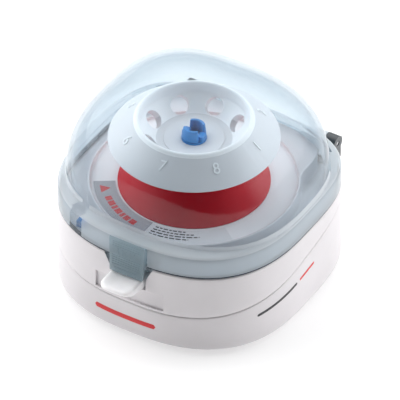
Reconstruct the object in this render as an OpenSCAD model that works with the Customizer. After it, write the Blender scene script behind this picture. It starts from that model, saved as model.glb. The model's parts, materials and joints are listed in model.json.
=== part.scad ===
// Personal microcentrifuge: a rounded two-part housing with an 8-place
// fixed-angle rotor on a brushed DC motor, under a hinged clear domed lid
// with a press-to-open latch tab. Units are millimetres, +Z is up, the
// latch faces -Y and the hinge is at +Y. The origin is on the bench surface
// under the middle of the footprint.

/* [Housing] */
// Half of the housing width
body_hw = 73.5; // [70:0.5:78]
// Rotor axis to the front wall
body_front = 71.4; // [70:0.2:76]
// Rotor axis to the rear wall
body_back = 78; // [76:0.5:82]
// Housing wall thickness
wall = 2.6; // [2:0.2:3.2]
// Height of the parting gap between housing and lid
gap_z = 53.5; // [52:0.1:55]
// Height of the chamber deck above the housing edge
deck_z = 62.9; // [61:0.1:64]
// Inner radius of the chamber rim
chamber_r = 58.9; // [57:0.1:60]
// Height of the rubber feet below the housing edge
foot_h = 2.5; // [1.5:0.5:4]

/* [Lid] */
// Height of the dome top above the housing edge
dome_z = 129.2; // [126:0.2:134]
// Wall thickness of the lid
lid_t = 2.4; // [2:0.1:3]
// Half of the dome width at its foot
dome_hw = 71.2; // [68:0.2:72]
// Width of the latch tab
tab_w = 23.2; // [20:0.2:26]

/* [Rotor] */
// Number of tube places
places = 8; // [6:1:8]
// Diameter of a tube hole
tube_d = 11; // [10.6:0.1:11.4]
// Rotor axis to the mouth of a tube hole
tube_r = 25.8; // [24:0.1:27]
// Radius of the rotor skirt
skirt_r = 49; // [47:0.5:51]
// Turn of the first tube hole at rest, in degrees
rotor_turn = 4.9; // [0:0.1:45]
// Radius of the motor shaft
shaft_r = 3; // [2:0.5:3]

/* [Hinge] */
// Rotor axis to the hinge axis
hinge_y = 75; // [74:0.5:76]
// Height of the hinge axis above the housing edge
hinge_z = 58.2; // [58:0.1:59]
// Radius of the hinge pins
pin_r = 1.5; // [1.2:0.1:2]
// Radial running clearance
run_c = 0.06; // [0.02:0.01:0.1]

/* [Hidden] */
$fn = 96;
axis_y = 4;
seam_slope = 10.2;
seam_z = 36;

module place() translate([0, axis_y, foot_h]) children();
module mirror_x() { children(); mirror([1, 0, 0]) children(); }

// Rounded outline: a superellipse whose front and rear halves differ.
function side(v, e) = sign(v) * pow(abs(v), e);
function outline(a, f, b, nf, nb, yc = 0, n = 112) = [for (i = [0:n - 1])
    let (t = 360 * (i + 0.5) / n, c = cos(t), s = sin(t), e = s < 0 ? 2 / nf : 2 / nb)
    [a * side(c, e), yc + (s < 0 ? f : b) * side(s, e)]];
function body_pts(ins) = outline(body_hw - ins, body_front - ins, body_back - ins, 2.55, 3.2);
module foot(ins = 0) polygon(body_pts(ins));
// Everything below the slanted seam, lowered by d
module below_seam(d = 0) translate([0, 0, seam_z - d]) rotate([seam_slope, 0, 0])
    translate([-100, -120, -120]) cube([200, 240, 120]);

screw_xy = [[52, -42], [-52, -42], [50, 50], [-50, 50]];
post_a = [45, 135, 225, 315];
board_x = 37;

module lower_housing() color("whitesmoke") place() difference() {
    union() {
        intersection() {
            difference() {
                linear_extrude(53) foot();
                translate([0, 0, wall]) linear_extrude(60) foot(wall);
            }
            below_seam(0.2);
        }
        for (p = screw_xy) translate([p[0], p[1], 1]) cylinder(r = 5, h = 24.8);
        for (a = post_a) rotate([0, 0, a]) translate([32, 0, 1]) cylinder(r = 4.5, h = 23);
        for (y = [-27, 27], x = [board_x + 4, board_x + 22]) translate([x, y, 1]) cylinder(r = 3, h = 9);
        // flat boss behind the rear connectors
        intersection() {
            translate([-38, 70, 5]) cube([76, 6.3, 30]);
            linear_extrude(53) foot();
        }
    }
    // flat rear connector panel
    translate([-38, 76.3, 5]) cube([76, 10, 30]);
    // screw passages with counterbores
    for (p = screw_xy) translate([p[0], p[1], -1]) { cylinder(r = 1.8, h = 40); cylinder(r = 3.4, h = 7); }
    // pilot holes for the motor mount screws
    for (a = post_a) rotate([0, 0, a]) translate([32, 0, 14]) cylinder(r = 1.6, h = 20);
    for (y = [-27, 27], x = [board_x + 4, board_x + 22]) translate([x, y, 5]) cylinder(r = 1.2, h = 9);
    // seats of the feet
    for (x = [-46, 46], y = [-44, 52]) translate([x * 0.86, y * 0.86, -1]) cylinder(r = 7, h = 2.2);
    // rear openings: round inlet and rectangular switch
    translate([22, 60, 18]) rotate([-90, 0, 0]) cylinder(r = 5.5, h = 30);
    translate([-28.5, 60, 10]) cube([13, 30, 19.2]);
    // floor vents
    for (i = [-3:3]) translate([i * 5 - 1, -16, -1]) cube([2, 32, 6]);
}

// Finger lip that stands out below the latch tab
lip_y = -88;
lip_hw = 10.3;
module finger_lip() intersection() {
    translate([-lip_hw, 0, 0]) rotate([90, 0, 90]) linear_extrude(2 * lip_hw)
        polygon([[-58.6, 35.8], [-70.6, 36], [-79, 39], [lip_y, 41.9], [lip_y, 43.4], [lip_y + 0.8, 44.2], [-58.6, 44.2]]);
    translate([0, 0, 30]) linear_extrude(20) polygon(concat([[-lip_hw, -50]],
        [for (a = [180:11.25:270]) [6 - lip_hw + 6 * cos(a), lip_y + 6 + 6 * sin(a)]],
        [for (a = [270:11.25:360]) [lip_hw - 6 + 6 * cos(a), lip_y + 6 + 6 * sin(a)]], [[lip_hw, -50]]));
}

module upper_housing() color("whitesmoke") place() {
    upper_shell();
    finger_lip();
}
module upper_shell() difference() {
    union() {
        difference() {
            union() {
                // outer wall and ledge
                difference() {
                    linear_extrude(gap_z) foot();
                    translate([0, 0, -1]) linear_extrude(gap_z - 1.5) foot(wall);
                }
                // solid behind the latch recess
                intersection() {
                    linear_extrude(gap_z) foot();
                    translate([-19, -75, 0]) cube([38, 17.4, gap_z - 0.5]);
                }
            }
            below_seam(-0.2);
            translate([0, 0, -1]) cylinder(r = chamber_r, h = gap_z + 10);
        }
        // chamber rim, deck and screw columns
        difference() {
            union() {
                translate([0, 0, gap_z - 2.5]) cylinder(r = chamber_r + 1.5, h = 13.8);
                // raised rear platform between the hinges
                translate([0, 0, gap_z - 2.5]) linear_extrude(13.8) difference() {
                    polygon(outline(50, 40, 30, 3, 4, 37, 80));
                    circle(r = chamber_r + 1);
                }
                for (p = screw_xy) translate([p[0], p[1], 25.8]) cylinder(r = 5, h = gap_z - 27);
            }
            translate([0, 0, deck_z]) cylinder(r = chamber_r, h = 20);
            translate([0, 0, gap_z - 10]) cylinder(r = chamber_r, h = deck_z - 2.5 - gap_z + 10);
            translate([0, 0, deck_z - 10]) cylinder(r = 40.6, h = 20);
        }
    }
    // hollow under the rear platform
    translate([0, 0, gap_z - 6]) linear_extrude(deck_z - 0.6 - gap_z + 6) difference() {
        polygon(outline(47.6, 37.6, 27.6, 3, 4, 37, 80));
        circle(r = chamber_r + 3);
    }
    // seats of the hinge brackets
    mirror_x() translate([42.9, 59.9, gap_z]) cube([7.2, 20, 20]);
    // latch recess: tapered pocket
    translate([0, -59.4, 0]) rotate([90, 0, 0]) linear_extrude(20)
        polygon([[-11.5, 36.6], [11.5, 36.6], [11.6, 43.5], [12.4, 46.6], [15.5, gap_z - 0.8], [15.7, gap_z + 0.1], [-15.7, gap_z + 0.1], [-15.5, gap_z - 0.8], [-12.4, 46.6], [-11.6, 43.5]]);
    // shallow panel below the latch
    translate([0, 0, 25.4]) linear_extrude(11.4) difference() {
        translate([-22.4, -80]) square([44.8, 30]);
        foot(1.3);
    }
    // slot that holds the catch bar
    translate([-17, -66.4, 47.6]) cube([34, 1.8, 2.4]);
    // screw pilots
    for (p = screw_xy) translate([p[0], p[1], 20]) cylinder(r = 1.5, h = 20);
    // window for the lid switch plunger
    translate([-41.3, -60.2, 40]) cube([5, 3.8, 30]);
    mirror_x() for (y = [63.2, 68]) translate([46.5, y, 44]) cylinder(r = 1.2, h = 30);
}

module motor_cover() color("firebrick") place() difference() {
    rotate_extrude() polygon([[40.4, 60.4], [40.4, deck_z], [43.5, deck_z], [43.5, deck_z + 0.6],
        [18.6, 87.6], [17.6, 88], [5, 88], [5, 85.6], [16.7, 85.6], [38.2, 63.6], [38.2, 60.4]]);
}

module sector(r1, r2, a1, a2, h) rotate([0, 0, a1]) rotate_extrude(angle = a2 - a1) translate([r1, 0]) square([r2 - r1, h]);
module deck_label() color("lightgrey") place() translate([0, 0, deck_z]) {
    sector(44.6, 57.2, -147, -90, 0.3);
    sector(45.2, 56.6, -89.6, -36, 0.2);
}

module rubber_feet() color("dimgray") place() for (x = [-46, 46], y = [-44, 52])
    translate([x * 0.86, y * 0.86, 0]) rotate_extrude()
        polygon([[0, -foot_h], [5.8, -foot_h], [6.8, -foot_h + 1], [6.95, 1.2], [0, 1.2]]);

module screw(r, len, hr, hh) difference() {
    union() { cylinder(r = r, h = len); translate([0, 0, -hh]) cylinder(r = hr, h = hh); }
    translate([0, 0, -hh - 1]) cylinder(r = hr * 0.42, h = 1 + hh * 0.6, $fn = 6);
}
module housing_screws() color("silver") place() for (p = screw_xy) translate([p[0], p[1], 6]) screw(1.5, 30, 3, 2.4);

module motor_mount() color("gray") place() translate([0, 0, 28]) difference() {
    cylinder(r = 38, h = 3);
    translate([0, 0, -1]) cylinder(r = 6.6, h = 5);
    for (a = post_a) rotate([0, 0, a]) translate([32, 0, -1]) cylinder(r = 1.7, h = 5);
    for (a = [0, 90, 180, 270]) rotate([0, 0, a]) translate([27, 0, -1]) cylinder(r = 6, h = 5);
    for (x = [-11.5, 11.5]) translate([x, 0, -1]) cylinder(r = 1.3, h = 5);
}
module vibration_mounts() color("black") place() for (a = post_a) rotate([0, 0, a]) translate([32, 0, 24])
    rotate_extrude() polygon([[1.7, 0], [5, 0], [5, 1.2], [4, 1.6], [4, 2.4], [5, 2.8], [5, 4], [1.7, 4]]);
module mount_screws() color("silver") place() for (a = post_a) rotate([0, 0, a]) translate([32, 0, 31])
    mirror([0, 0, 1]) screw(1.6, 17, 3, 2);
module motor_screws() color("silver") place() for (x = [-11.5, 11.5]) translate([x, 0, 28]) screw(1.3, 8, 2.3, 1.6);

module motor_end_cap() color("black") place() difference() {
    translate([0, 0, 31]) cylinder(r = 17.5, h = 6);
    translate([0, 0, 32.2]) cylinder(r = 6.5, h = 6);
    translate([0, 0, 30]) cylinder(r = 4, h = 6);
    for (x = [-11.5, 11.5]) translate([x, 0, 30]) cylinder(r = 1.3, h = 6);
}
module motor_can() color("silver") place() difference() {
    union() {
        translate([0, 0, 37]) cylinder(r = 17.5, h = 40);
        translate([0, 0, 77]) cylinder(r = 8.5, h = 3);
    }
    translate([0, 0, 36]) cylinder(r = 15.9, h = 39);
    translate([0, 0, 74]) cylinder(r = 6.5, h = 5);
    translate([0, 0, 74]) cylinder(r = 4.2, h = 7);
}
module motor_magnets() color("dimgray") place() translate([0, 0, 42]) difference() {
    cylinder(r = 15.9, h = 26);
    translate([0, 0, -1]) cylinder(r = 13, h = 28);
    for (a = [0, 90]) rotate([0, 0, a]) translate([-1.5, -20, -1]) cube([3, 40, 28]);
}
module motor_armature() color("peru") place() translate([0, 0, 42]) difference() {
    union() {
        cylinder(r = 12.2, h = 26);
        translate([0, 0, -3.4]) cylinder(r = 5, h = 3.4);
    }
    translate([0, 0, -5]) cylinder(r = shaft_r, h = 40);
    for (a = [0:60:359]) rotate([0, 0, a]) translate([9, -0.8, -1]) cube([5, 1.6, 28]);
}
module motor_shaft() color("silver") place() translate([0, 0, 31.4]) cylinder(r = shaft_r, h = 65);
module bearing(z, h = 4.8) color("lightsteelblue") place() translate([0, 0, z]) difference() {
    cylinder(r = 6.5, h = h);
    translate([0, 0, -1]) cylinder(r = shaft_r + run_c, h = h + 2);
    for (s = [-0.1, h - 0.3]) translate([0, 0, s]) difference() { cylinder(r = 5.6, h = 0.4); cylinder(r = 4, h = 0.4); }
}
module lower_bearing() bearing(32.2);
module upper_bearing() bearing(74.1);

// Blue hub on the shaft, with the two snap prongs that hold the rotor
prong_z = 95.5;
module drive_hub() color("dodgerblue") place() difference() {
    union() {
        translate([0, 0, 89.1]) cylinder(r = 10.5, h = 1.9);
        translate([0, 0, 88.3]) cylinder(r = 4.6, h = 1.9);
        translate([0, 0, 90]) cylinder(r = 7.2, h = 5.2);
        // fixed side cheeks between the prongs
        translate([0, 0, 95]) intersection() { cylinder(r = 7.2, h = 3.2); translate([-10, -2.6, 0]) cube([20, 5.2, 4]); }
    }
    translate([0, 0, 80]) cylinder(r = shaft_r, h = 16.4);
}
module prong() difference() {
    intersection() {
        translate([0, 0, prong_z]) cylinder(r = 7.2, h = 7.4);
        translate([-5.2, -10, prong_z]) cube([10.4, 7.1, 7.4]);
    }
    translate([0, 0, prong_z - 1]) cylinder(r = 4.6, h = 12);
}
module clip_prong_front() color("dodgerblue") place() prong();
module clip_prong_rear() color("dodgerblue") place() rotate([0, 0, 180]) prong();

module at_tube(i) rotate([0, 0, rotor_turn + i * 360 / places]) translate([tube_r, 0, 97.5]) rotate([0, 135, 0]) children();
module rotor() color("gainsboro") place() difference() {
    union() {
        rotate_extrude() polygon([[0, 93.6], [21.9, 93.6], [30.9, 102.6], [31, 106.8], [31.4, 108.3], [32.2, 109],
            [33.2, 108.6], [34, 107.5], [skirt_r, 94.6], [skirt_r, 94.1], [skirt_r - 3, 94.1], [36.2, 102.8],
            [34.3, 102.6], [22.7, 91], [0, 91]]);
        // tube sockets
        difference() {
            for (i = [0:places - 1]) at_tube(i) translate([0, 0, 0.6]) cylinder(r = tube_d / 2 + 1.6, h = 3.4);
            // nothing above the bowl surface
            rotate_extrude() polygon([[0, 93.6], [21.9, 93.6], [30.9, 102.6], [31, 120], [0, 120]]);
        }
        // raised hub disc in the bowl floor
        translate([0, 0, 93.4]) cylinder(r = 17.6, h = 0.8);
    }
    for (i = [0:places - 1]) at_tube(i) translate([0, 0, -9]) cylinder(r = tube_d / 2, h = 40);
    translate([0, 0, 80]) cylinder(r = 7.2, h = 30);
}

module circuit_board() color("darkgreen") place() difference() {
    translate([board_x, -31, 10]) cube([26, 62, 1.6]);
    for (y = [-27, 27], x = [board_x + 4, board_x + 22]) translate([x, y, 5]) cylinder(r = 1.2, h = 9);
}
module board_components() place() translate([board_x, 0, 11.6]) {
    color("black") translate([7, -8, 0]) cube([10, 8, 1.6]);
    color("navy") translate([8, 10, 0]) cylinder(r = 4, h = 11);
    color("navy") translate([18, 10, 0]) cylinder(r = 4, h = 11);
    color("ivory") translate([14, -25, 0]) cube([6, 10, 7]);
    color("black") translate([4, -20, 0]) cube([4.4, 10, 14]);
    color("white") translate([9, 19, 0]) cube([11, 5, 6]);
}
module dc_inlet() color("black") place() translate([22, 76.3, 18]) rotate([90, 0, 0]) difference() {
    union() {
        cylinder(r = 5.5, h = 7);
        translate([-7, -7, 6.3]) cube([14, 14, 9]);
        translate([0, 0, -1.2]) cylinder(r = 7, h = 1.2);
    }
    difference() { translate([0, 0, -3]) cylinder(r = 2.9, h = 13); translate([0, 0, -1]) cylinder(r = 1, h = 14); }
}
module power_switch_frame() color("black") place() translate([-22, 0, 19.6]) difference() {
    union() {
        translate([-8.5, 76.3, -11.6]) cube([17, 1.3, 23.2]);
        translate([-6.5, 62, -9.6]) cube([13, 14.3, 19.2]);
    }
    translate([-5.1, 66, -8.4]) cube([10.2, 20, 16.8]);
}
module power_rocker() color("black") place() translate([-22, 73.6, 19.6]) rotate([-8, 0, 0]) translate([-4.8, 0, 0])
    rotate([90, 0, 90]) linear_extrude(9.6) polygon([[-4, -4], [-4, 4], [4.8, 7.4], [5.4, 7.2], [4.1, 0], [5.4, -7.2], [4.8, -7.4]]);

module lid_switch() color("dimgray") place() difference() {
    translate([-41.8, -60.6, 40.4]) cube([8.4, 5.8, 10.6]);
    translate([-41.3, -60.2, 45]) cube([5, 3.8, 12]);
}
module lid_switch_plunger() color("royalblue") place() translate([-41.2, -60.1, 48]) cube([4.8, 3.6, 9.8]);

module latch_catch() color("silver") place() translate([-17, -66.4, 47.6]) cube([34, 1.8, 2.4]);

module hinge_brackets() color("#2b3236") place() mirror_x() difference() {
    union() {
        translate([43, 60, gap_z]) cube([7, 15, 4]);
        translate([43, hinge_y, hinge_z]) rotate([0, 90, 0]) cylinder(r = 4.7, h = 7);
        translate([43, 69.5, gap_z]) cube([7, 5, 6]);
        translate([43, 73.6, 47]) cube([7, 4.6, 11]);
    }
    translate([40, hinge_y, hinge_z]) rotate([0, 90, 0]) cylinder(r = pin_r + run_c, h = 12);
    for (y = [63.2, 68]) translate([46.5, y, 50]) cylinder(r = 1.2, h = 12);
}
module hinge_pins() color("silver") place() mirror_x() translate([36, hinge_y, hinge_z]) rotate([0, 90, 0]) cylinder(r = pin_r, h = 13.6);
module bracket_screws() color("silver") place() mirror_x() translate([46.5, 63.2, gap_z + 4]) mirror([0, 0, 1]) screw(1.2, 8, 2.2, 1.2);

// Pressed-in flexing tab: outer skin with ribs, inner leg with the nose
tab_py = -70.2;
tab_pz = 65.4;
module latch_tab() color("slategray") place() intersection() {
    translate([-tab_w / 2, 0, 0]) rotate([90, 0, 90]) linear_extrude(tab_w)
        polygon([[-73.9, 44.8], [-72.5, 67.5], [-72.2, 68.2], [-71.7, 68.3], [-71.3, 67.6], [-71.2, 66.4], [-70.2, 66.4], [-69.3, 66], [-69.1, 65],
            [-70.2, 57.7], [-62.9, 56.2], [-62.9, 45], [-64, 44.6], [-64, 46.2], [-64.4, 47.2], [-64.4, 54.4], [-70.6, 55.4], [-71.9, 44.8]]);
    // narrower towards the bottom
    translate([0, -60, 0]) rotate([90, 0, 0]) linear_extrude(20)
        polygon([[-tab_w / 2 + 1, 40], [tab_w / 2 - 1, 40], [tab_w / 2 - 1, 44.7], [tab_w / 2, 62], [tab_w / 2, 70], [-tab_w / 2, 70], [-tab_w / 2, 62], [-tab_w / 2 + 1, 44.7]]);
}

// Clear lid: one moulding of flange, shoulder and dome
dome_z0 = 69;
function dome_ring(g, z, ins) = [for (p = outline((dome_hw - ins) * g, (66 - ins) * g, (64 - ins) * g, 2.66, 2.7, 4.6, 96)) [p[0], p[1], z]];
function flange_ring(ins, z) = [for (p = outline(body_hw - ins, body_front - ins, 72.5 - ins, 2.55, 3.6, 0, 96)) [p[0], p[1], z]];
dome_m = 2.3;
lid_steps = [0.06, 0.16, 0.28, 0.4, 0.52, 0.63, 0.73, 0.82, 0.89, 0.945, 0.98, 0.996];
function dome_g(t) = pow(1 - pow(t, dome_m), 1 / dome_m);
lid_out = concat([flange_ring(0, gap_z + 0.3), flange_ring(0.2, 64.6), flange_ring(0.7, 66.5), flange_ring(2, 67.7)],
    [dome_ring(1, dome_z0, -0.4)],
    [for (t = lid_steps) dome_ring(dome_g(t), dome_z0 + t * (dome_z - dome_z0), 0)]);
lid_in = concat([flange_ring(lid_t, gap_z + 0.3), flange_ring(lid_t + 0.2, 63.4), flange_ring(lid_t + 1.4, 65)],
    [dome_ring(1, dome_z0 - lid_t, lid_t + 0.4)],
    [for (t = lid_steps) dome_ring(dome_g(t), dome_z0 - 0.2 + t * (dome_z - lid_t + 0.2 - dome_z0), lid_t)]);
lid_rings = concat([for (i = [len(lid_in) - 1:-1:0]) lid_in[i]], lid_out);
lid_n = 96;
lid_m = len(lid_rings);
module lid_shell() polyhedron(
    points = concat([for (r = lid_rings) each r], [[0, 4.6, dome_z - lid_t], [0, 4.6, dome_z]]),
    faces = concat(
        [for (j = [0:lid_m - 2], i = [0:lid_n - 1]) [j * lid_n + i, (j + 1) * lid_n + i, j * lid_n + (i + 1) % lid_n]],
        [for (j = [0:lid_m - 2], i = [0:lid_n - 1]) [(j + 1) * lid_n + i, (j + 1) * lid_n + (i + 1) % lid_n, j * lid_n + (i + 1) % lid_n]],
        [for (i = [0:lid_n - 1]) [lid_m * lid_n, i, (i + 1) % lid_n]],
        [for (i = [0:lid_n - 1]) [lid_m * lid_n + 1, (lid_m - 1) * lid_n + (i + 1) % lid_n, (lid_m - 1) * lid_n + i]]));
module lid() color("powderblue", 0.45) place() difference() {
    union() {
        difference() {
            lid_shell();
            // opening for the latch tab
            translate([-tab_w / 2 - 0.8, -80, 40]) cube([tab_w + 1.6, 12.6, 26.8]);
            // clearance round the hinge brackets
            mirror_x() translate([42.6, hinge_y, hinge_z]) rotate([0, 90, 0]) cylinder(r = 5.4, h = 7.8);
            mirror_x() translate([42.6, 60, 40]) cube([7.8, 20, 19.2]);
        }
        // hinge ears
        mirror_x() difference() {
            union() {
                translate([35.4, hinge_y, hinge_z]) rotate([0, 90, 0]) cylinder(r = 4.6, h = 7.2);
                translate([35.4, 68.9, hinge_z - 4.2]) cube([7.2, 6.1, 8.4]);
            }
            translate([36, hinge_y, hinge_z]) rotate([0, 90, 0]) cylinder(r = pin_r, h = 12);
        }
    }
}

lower_housing();
upper_housing();
motor_cover();
deck_label();
rubber_feet();
housing_screws();
motor_mount();
vibration_mounts();
mount_screws();
motor_screws();
motor_end_cap();
motor_can();
motor_magnets();
motor_armature();
motor_shaft();
lower_bearing();
upper_bearing();
drive_hub();
clip_prong_front();
clip_prong_rear();
rotor();
circuit_board();
board_components();
dc_inlet();
power_switch_frame();
power_rocker();
lid_switch();
lid_switch_plunger();
latch_catch();
hinge_brackets();
hinge_pins();
bracket_screws();
latch_tab();
lid();
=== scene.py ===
import bmesh
import bpy
import json
import math
import numpy as np
from mathutils import Matrix, Vector


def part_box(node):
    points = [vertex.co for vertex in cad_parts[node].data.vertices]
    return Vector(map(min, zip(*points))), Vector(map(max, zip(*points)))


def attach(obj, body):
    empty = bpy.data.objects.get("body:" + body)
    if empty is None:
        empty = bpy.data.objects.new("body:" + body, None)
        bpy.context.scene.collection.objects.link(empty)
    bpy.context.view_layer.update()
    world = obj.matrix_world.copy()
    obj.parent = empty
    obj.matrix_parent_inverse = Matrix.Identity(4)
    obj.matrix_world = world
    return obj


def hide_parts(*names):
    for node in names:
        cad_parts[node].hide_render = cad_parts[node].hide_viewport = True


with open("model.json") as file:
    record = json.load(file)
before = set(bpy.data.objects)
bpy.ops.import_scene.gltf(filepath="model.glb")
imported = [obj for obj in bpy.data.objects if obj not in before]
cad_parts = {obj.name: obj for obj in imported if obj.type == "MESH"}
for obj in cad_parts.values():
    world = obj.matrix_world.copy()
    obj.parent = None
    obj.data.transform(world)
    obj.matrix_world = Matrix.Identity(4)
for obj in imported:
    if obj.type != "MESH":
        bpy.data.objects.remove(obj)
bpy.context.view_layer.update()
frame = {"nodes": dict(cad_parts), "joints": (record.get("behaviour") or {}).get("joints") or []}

JOINT = {j["name"]: j for j in frame["joints"]}
AX, AY = JOINT["rotor_spin"]["pos_m"][:2]
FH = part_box("lower_housing")[0].z
GZ = (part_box("hinge_brackets")[0].z - FH) * 1000 + 6.5  # ledge level, mm
DECK = (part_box("deck_label")[0].z - FH) * 1000
DOME = (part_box("lid")[1].z - FH) * 1000
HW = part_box("upper_housing")[1].x * 1000
FRONT = -(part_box("lower_housing")[0].y - AY) * 1000
LIP_Y = (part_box("upper_housing")[0].y - AY) * 1000
BACK = (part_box("lower_housing")[1].y - AY) * 1000
HY = (JOINT["lid_hinge"]["pos_m"][1] - AY) * 1000
HZ = (JOINT["lid_hinge"]["pos_m"][2] - FH) * 1000
SLOPE = math.tan(math.radians(10.2))
N = 256
PHI = np.linspace(0, 2 * math.pi, N, endpoint=False)


def W(p):
    """Rotor-axis millimetres to row metres."""
    return (AX + p[0] * 0.001, AY + p[1] * 0.001, FH + p[2] * 0.001)


# ---------------------------------------------------------------- outlines
def polar(a, f, b, nf, nb, yc=0.0, phi=PHI):
    """Radius from the rotor axis of a two-halved superellipse centred at (0, yc)."""
    lo, hi = np.zeros_like(phi), np.full_like(phi, 200.0)
    c, s = np.cos(phi), np.sin(phi)
    for _ in range(46):
        m = (lo + hi) / 2
        x, y = np.abs(m * c), m * s - yc
        e = np.where(y < 0, nf, nb)
        q = np.where(y < 0, f, b)
        inside = (x / a) ** e + (np.abs(y) / q) ** e < 1
        lo, hi = np.where(inside, m, lo), np.where(inside, hi, m)
    return (lo + hi) / 2


def body_r(ins=0.0, phi=PHI):
    return polar(HW - ins, FRONT - ins, BACK - ins, 2.55, 3.2, 0.0, phi)


def ring(r, z, phi=PHI):
    r = np.broadcast_to(r, phi.shape)
    z = np.broadcast_to(z, phi.shape)
    return np.stack([r * np.cos(phi), r * np.sin(phi), z], -1)


def seam(r, phi=PHI):
    return 36.0 + SLOPE * r * np.sin(phi)


# ---------------------------------------------------------------- mesh helpers
def finish_mesh(me, angle=32):
    for p in me.polygons:
        p.use_smooth = True
    me.set_sharp_from_angle(angle=math.radians(angle))


def obj_from(name, verts, faces, angle=32, recalc=True):
    me = bpy.data.meshes.new(name)
    me.from_pydata([W(v) for v in verts], [], [list(map(int, f)) for f in faces])
    if recalc:
        bm = bmesh.new()
        bm.from_mesh(me)
        bmesh.ops.recalc_face_normals(bm, faces=bm.faces)
        bm.to_mesh(me)
        bm.free()
    finish_mesh(me, angle)
    o = bpy.data.objects.new(name, me)
    bpy.context.scene.collection.objects.link(o)
    return o


def loft(name, rings, closed=False, cap_lo=True, cap_hi=True, angle=32):
    """Quads between rings of equal length; closed joins the last ring to the first."""
    n = len(rings[0])
    verts = [tuple(v) for r in rings for v in r]
    faces = []
    m = len(rings)
    for j in range(m if closed else m - 1):
        a, b = j * n, ((j + 1) % m) * n
        for i in range(n):
            k = (i + 1) % n
            faces.append((a + i, a + k, b + k, b + i))
    if not closed:
        if cap_lo:
            verts.append(tuple(np.mean(rings[0], axis=0)))
            c = len(verts) - 1
            faces += [(c, (i + 1) % n, i) for i in range(n)]
        if cap_hi:
            verts.append(tuple(np.mean(rings[-1], axis=0)))
            c = len(verts) - 1
            a = (m - 1) * n
            faces += [(c, a + i, a + (i + 1) % n) for i in range(n)]
    return obj_from(name, verts, faces, angle)


def revolve(name, prof, n=160, centre=(0, 0), closed=True, angle=32):
    """Revolves (r, z) points about the vertical through centre; points at r = 0 become poles."""
    phi = np.linspace(0, 2 * math.pi, n, endpoint=False)
    verts, faces, idx = [], [], []
    for r, z in prof:
        if r < 1e-6:
            verts.append((centre[0], centre[1], z))
            idx.append([len(verts) - 1])
        else:
            s = len(verts)
            verts += [(centre[0] + r * math.cos(p), centre[1] + r * math.sin(p), z) for p in phi]
            idx.append(list(range(s, s + n)))
    m = len(prof)
    for j in range(m if closed else m - 1):
        a, b = idx[j], idx[(j + 1) % m]
        for i in range(n):
            k = (i + 1) % n
            if len(a) == 1 and len(b) == 1:
                break
            if len(a) == 1:
                faces.append((a[0], b[k], b[i]))
            elif len(b) == 1:
                faces.append((a[i], a[k], b[0]))
            else:
                faces.append((a[i], a[k], b[k], b[i]))
    return obj_from(name, verts, faces, angle)


def rounded(prof, rad, steps=4):
    """Rounds the corners of a closed (r, z) profile; rad is one radius or one per point."""
    out = []
    m = len(prof)
    for i in range(m):
        p0, p1, p2 = (Vector(prof[(i + d) % m]) for d in (-1, 0, 1))
        r = rad[i] if isinstance(rad, (list, tuple)) else rad
        a, b = (p0 - p1), (p2 - p1)
        la, lb = a.length, b.length
        if r <= 0 or la < 1e-6 or lb < 1e-6:
            out.append(tuple(p1))
            continue
        a.normalize()
        b.normalize()
        ang = a.angle(b)
        d = min(r / math.tan(ang / 2), la * 0.45, lb * 0.45)
        for s in range(steps + 1):
            t = s / steps
            q = (1 - t) ** 2 * (p1 + a * d) + 2 * t * (1 - t) * p1 + t * t * (p1 + b * d)
            out.append(tuple(q))
    return out


def prism(name, poly, axis, lo, hi, bevel=0.0, segs=3, angle=32):
    """Extrudes a polygon of mm points along an axis. axis 'x': (y, z) points, 'y': (x, z), 'z': (x, y)."""
    def at(p, t):
        return {"x": (t, p[0], p[1]), "y": (p[0], t, p[1]), "z": (p[0], p[1], t)}[axis]
    n = len(poly)
    verts = [at(p, lo) for p in poly] + [at(p, hi) for p in poly]
    faces = [tuple(range(n)), tuple(range(n, 2 * n))]
    faces += [(i, (i + 1) % n, n + (i + 1) % n, n + i) for i in range(n)]
    o = obj_from(name, verts, faces, angle)
    if bevel:
        bevel_all(o, bevel, segs, angle)
    return o


def block(name, lo, hi, bevel=0.0, segs=3):
    return prism(name, [(lo[0], lo[1]), (hi[0], lo[1]), (hi[0], hi[1]), (lo[0], hi[1])], "z", lo[2], hi[2], bevel, segs)


def bevel_all(o, width, segs=3, angle=32, limit=28):
    m = o.modifiers.new("round", "BEVEL")
    m.width = width * 0.001
    m.segments = segs
    m.limit_method = "ANGLE"
    m.angle_limit = math.radians(limit)
    bake(o, angle)


def bake(o, angle=32):
    dg = bpy.context.evaluated_depsgraph_get()
    dg.update()
    me = bpy.data.meshes.new_from_object(o.evaluated_get(dg))
    o.modifiers.clear()
    old = o.data
    o.data = me
    bpy.data.meshes.remove(old)
    finish_mesh(me, angle)


def boolean(o, cutter, op="DIFFERENCE", angle=32):
    m = o.modifiers.new("b", "BOOLEAN")
    m.operation = op
    m.solver = "MANIFOLD"
    m.object = cutter
    bake(o, angle)
    bpy.data.objects.remove(cutter)


def join(name, objs, angle=32):
    """One object from several closed, non-touching meshes."""
    bm = bmesh.new()
    for o in objs:
        bm.from_mesh(o.data)
    me = bpy.data.meshes.new(name)
    bm.to_mesh(me)
    bm.free()
    for o in objs:
        bpy.data.objects.remove(o)
    finish_mesh(me, angle)
    out = bpy.data.objects.new(name, me)
    bpy.context.scene.collection.objects.link(out)
    return out


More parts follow.
